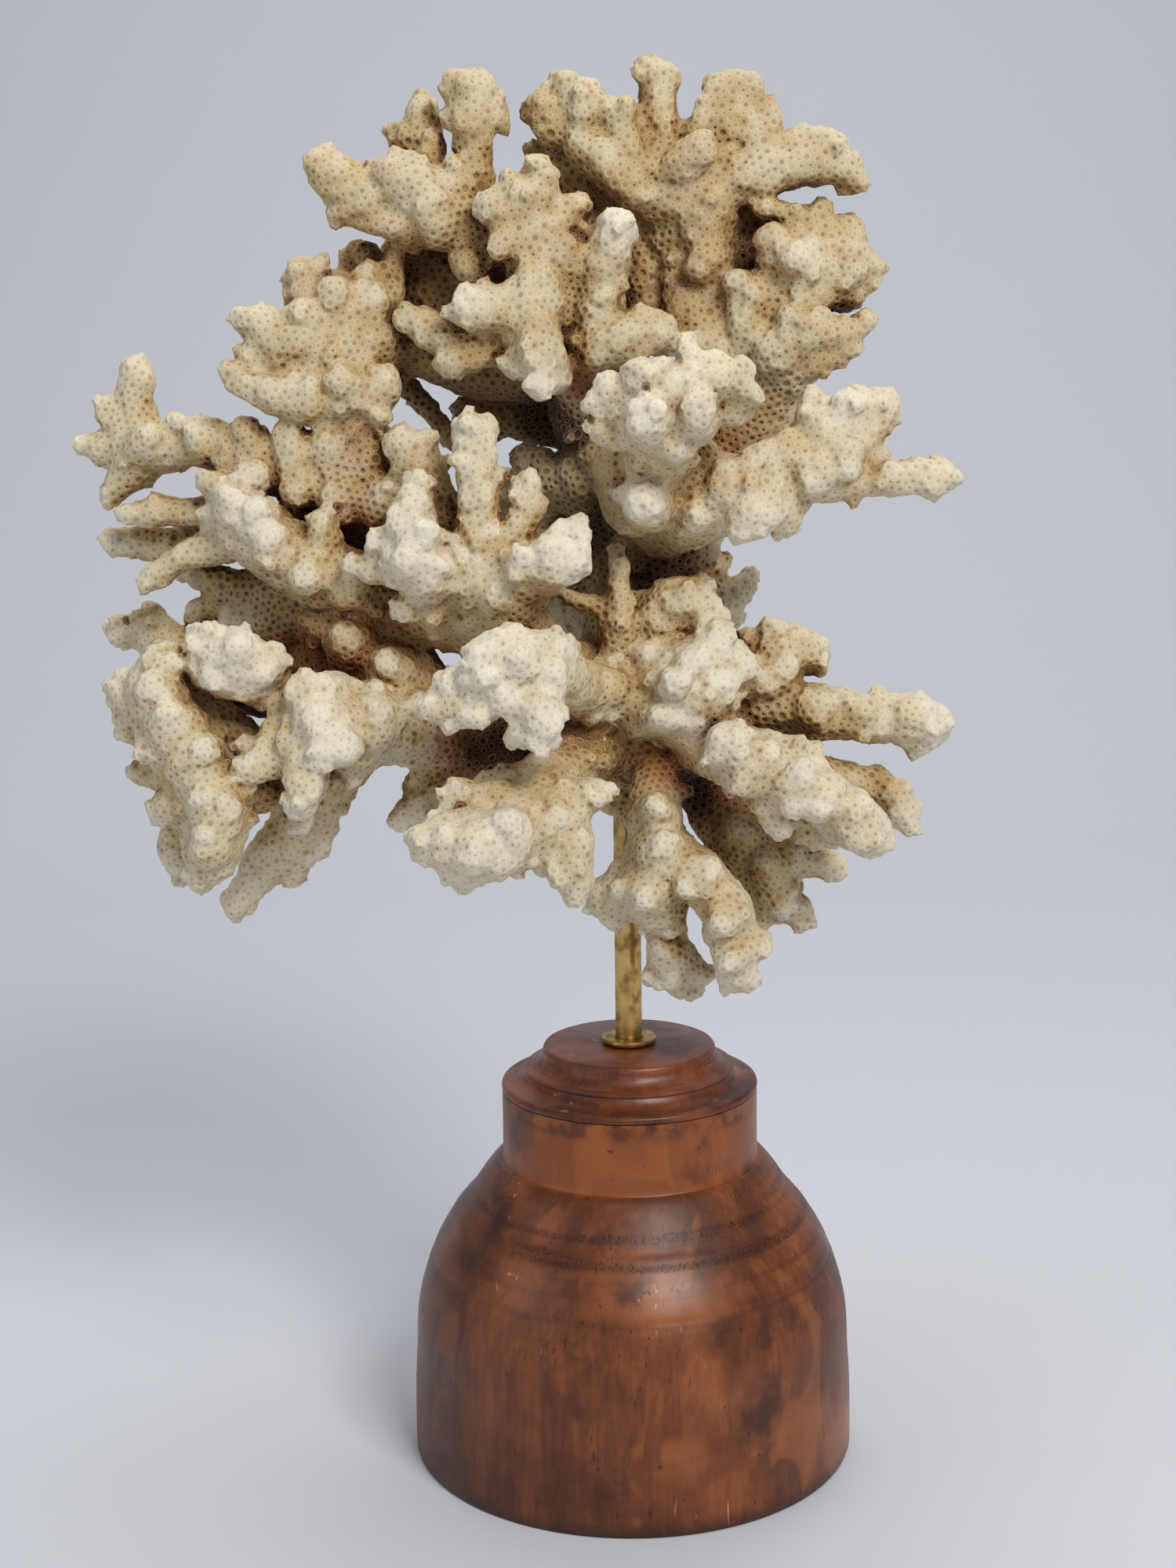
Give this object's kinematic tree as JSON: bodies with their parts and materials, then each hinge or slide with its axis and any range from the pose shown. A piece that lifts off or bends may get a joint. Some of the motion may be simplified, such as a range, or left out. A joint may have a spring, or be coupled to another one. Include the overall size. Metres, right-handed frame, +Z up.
{
  "type": "mounted coral specimen",
  "caption": "A branching, bleached stony coral with knobby pitted limbs, held on a thin brass rod over a turned dark wooden bell-shaped base.",
  "frame": {"origin": "centre of the flat underside of the wooden base, which stands on the surface; the rod rises on the Z axis", "axes": "+Z up along the rod, -Y towards the side that the picture shows, +X to that view's right"},
  "size_m": [0.1591, 0.1106, 0.2577],
  "materials": {
    "turned_wood": "satin",
    "cap_wood": "satin",
    "aged_brass": "satin",
    "coral": "matte"
  },
  "bodies": {
    "root": {"base_bell": "turned_wood", "base_cap": "cap_wood", "rod_washer": "aged_brass", "brass_rod": "aged_brass", "coral_trunk": "coral", "crown_stem": "coral", "crown_left": "coral", "crown_middle": "coral", "crown_right": "coral", "fan_right": "coral", "front_cluster": "coral", "right_arm": "coral", "right_middle": "coral", "right_lower": "coral", "lower_right": "coral", "lower_centre": "coral", "lower_slab": "coral", "centre_branch": "coral", "centre_hand": "coral", "left_centre": "coral", "left_hand": "coral", "left_upper": "coral", "left_long": "coral", "left_middle": "coral", "centre_twigs": "coral", "dark_branch": "coral", "back_upper": "coral", "back_right": "coral", "back_left": "coral", "back_lower": "coral"}
  },
  "joints": []
}
